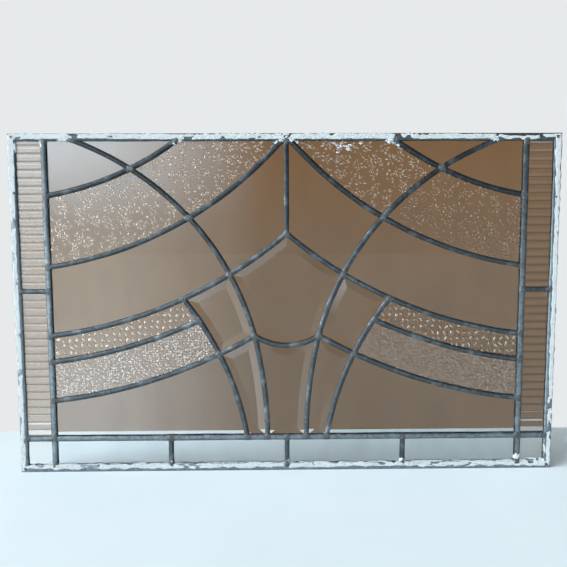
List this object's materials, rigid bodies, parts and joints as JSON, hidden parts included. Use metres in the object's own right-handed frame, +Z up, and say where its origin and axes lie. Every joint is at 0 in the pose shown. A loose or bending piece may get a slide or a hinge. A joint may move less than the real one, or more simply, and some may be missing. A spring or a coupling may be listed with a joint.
{
  "type": "leaded stained glass window panel",
  "caption": "Rectangular leaded-light panel of clear, bevelled and textured glass in lead cames, set in a window sash.",
  "frame": {"origin": "middle of the panel's bottom edge, on the outer face of the border came, halfway through its depth", "axes": "+X across the panel, +Y through it from the face side to the back, +Z up"},
  "size_m": [0.648, 0.0072, 0.406],
  "materials": {
    "lead_came": "dull blue-grey oxidised lead, lighter where it is rubbed",
    "solder": "dull grey tin-lead solder, slightly rough",
    "clear_glass": "clear drawn sheet with a faint wave",
    "bevelled_glass": "clear polished plate, edges ground to a bevel",
    "reeded_glass": "clear rolled glass with half-round reeds",
    "floral_glass": "clear rolled glass with an all-over flower relief",
    "hammered_glass": "clear rolled glass with shallow round dimples",
    "stippled_glass": "clear rolled glass with a fine pebbled face",
    "old_paint": "chipped crust of old white gloss paint and putty"
  },
  "bodies": {
    "root": {"came_border_top": "lead_came", "came_border_bottom": "lead_came", "came_border_left": "lead_came", "came_border_right": "lead_came", "came_upright_left": "lead_came", "came_upright_right": "lead_came", "came_base_rail_left": "lead_came", "came_base_rail_middle": "lead_came", "came_base_rail_right": "lead_came", "came_base_divider_left": "lead_came", "came_base_divider_middle": "lead_came", "came_base_divider_right": "lead_came", "came_side_bar_left": "lead_came", "came_side_bar_right": "lead_came", "came_crown": "lead_came", "came_swag": "lead_came", "came_arch_left": "lead_came", "came_fan_left": "lead_came", "came_second_sweep_outer_left": "lead_came", "came_upper_sweep_outer_left": "lead_came", "came_upper_sweep_inner_left": "lead_came", "came_arch_right": "lead_came", "came_fan_right": "lead_came", "came_second_sweep_outer_right": "lead_came", "came_upper_sweep_outer_right": "lead_came", "came_upper_sweep_inner_right": "lead_came", "glass_clear_corner_left": "clear_glass", "glass_clear_wedge_left": "clear_glass", "glass_clear_band_left": "clear_glass", "glass_clear_kite_left": "clear_glass", "glass_clear_foot_left": "clear_glass", "glass_clear_base_corner_left": "clear_glass", "glass_floral_outer_left": "floral_glass", "glass_floral_inner_left": "floral_glass", "glass_hammered_left": "hammered_glass", "glass_stippled_left": "stippled_glass", "glass_bevelled_shoulder_left": "bevelled_glass", "glass_bevelled_stem_left": "bevelled_glass", "glass_reeded_side_upper_left": "reeded_glass", "glass_reeded_side_lower_left": "reeded_glass", "glass_clear_corner_right": "clear_glass", "glass_clear_wedge_right": "clear_glass", "glass_clear_band_right": "clear_glass", "glass_clear_kite_right": "clear_glass", "glass_clear_foot_right": "clear_glass", "glass_clear_base_corner_right": "clear_glass", "glass_floral_outer_right": "floral_glass", "glass_floral_inner_right": "floral_glass", "glass_hammered_right": "hammered_glass", "glass_stippled_right": "stippled_glass", "glass_bevelled_shoulder_right": "bevelled_glass", "glass_bevelled_stem_right": "bevelled_glass", "glass_reeded_side_upper_right": "reeded_glass", "glass_reeded_side_lower_right": "reeded_glass", "glass_bevelled_heart": "bevelled_glass", "glass_bevelled_vase": "bevelled_glass", "glass_reeded_base_1": "reeded_glass", "glass_reeded_base_2": "reeded_glass", "glass_reeded_base_3": "reeded_glass", "glass_reeded_base_4": "reeded_glass"}
  },
  "joints": []
}
